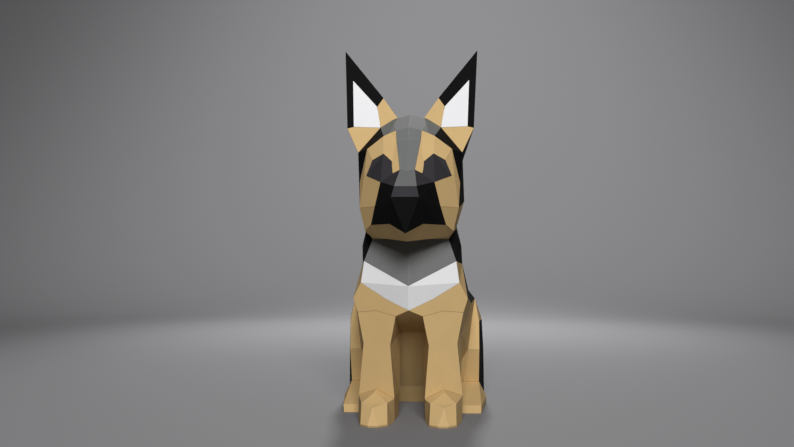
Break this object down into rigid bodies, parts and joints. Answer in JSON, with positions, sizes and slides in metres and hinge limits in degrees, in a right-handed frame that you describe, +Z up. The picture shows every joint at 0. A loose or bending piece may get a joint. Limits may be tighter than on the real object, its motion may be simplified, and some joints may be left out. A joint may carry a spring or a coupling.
{
  "type": "folded card dog figure",
  "caption": "Sitting dog of folded card: a hollow figure of flat facets with tall ears, a square muzzle and a tail on the floor.",
  "frame": {"origin": "bottom centre of the outline, on the floor", "axes": "+Z up, the dog faces -Y, its left side is +X"},
  "size_m": [0.1706, 0.3499, 0.4073],
  "materials": {
    "black_card": "matte",
    "grey_card": "matte",
    "tan_card": "matte",
    "white_card": "matte"
  },
  "bodies": {
    "root": {"crown": "grey_card", "nose": "grey_card", "nose_band": "grey_card", "muzzle": "black_card", "jaw": "tan_card", "head_back": "black_card", "bib": "grey_card", "chevron": "white_card", "nape": "black_card", "chest_under": "tan_card", "belly": "tan_card", "saddle": "black_card", "rear": "black_card", "base": "tan_card", "tail": "black_card", "ear_back_left": "black_card", "ear_back_right": "black_card", "ear_rim_left": "black_card", "ear_rim_right": "black_card", "ear_lining_left": "white_card", "ear_lining_right": "white_card", "ear_side_left": "tan_card", "ear_side_right": "tan_card", "ear_base_left": "tan_card", "ear_base_right": "tan_card", "temple_left": "black_card", "temple_right": "black_card", "brow_left": "tan_card", "brow_right": "tan_card", "eye_patch_left": "grey_card", "eye_patch_right": "grey_card", "cheek_left": "tan_card", "cheek_right": "tan_card", "jowl_left": "tan_card", "jowl_right": "tan_card", "head_side_left": "black_card", "head_side_right": "black_card", "neck_side_left": "black_card", "neck_side_right": "black_card", "chest_left": "tan_card", "chest_right": "tan_card", "back_side_left": "black_card", "back_side_right": "black_card", "rump_left": "black_card", "rump_right": "black_card", "flank_left": "tan_card", "flank_right": "tan_card", "front_leg_left": "tan_card", "front_leg_right": "tan_card", "front_paw_left": "tan_card", "front_paw_right": "tan_card", "front_sole_left": "tan_card", "front_sole_right": "tan_card", "haunch_left": "tan_card", "haunch_right": "tan_card", "hind_paw_left": "tan_card", "hind_paw_right": "tan_card", "hind_sole_left": "tan_card", "hind_sole_right": "tan_card"}
  },
  "joints": []
}
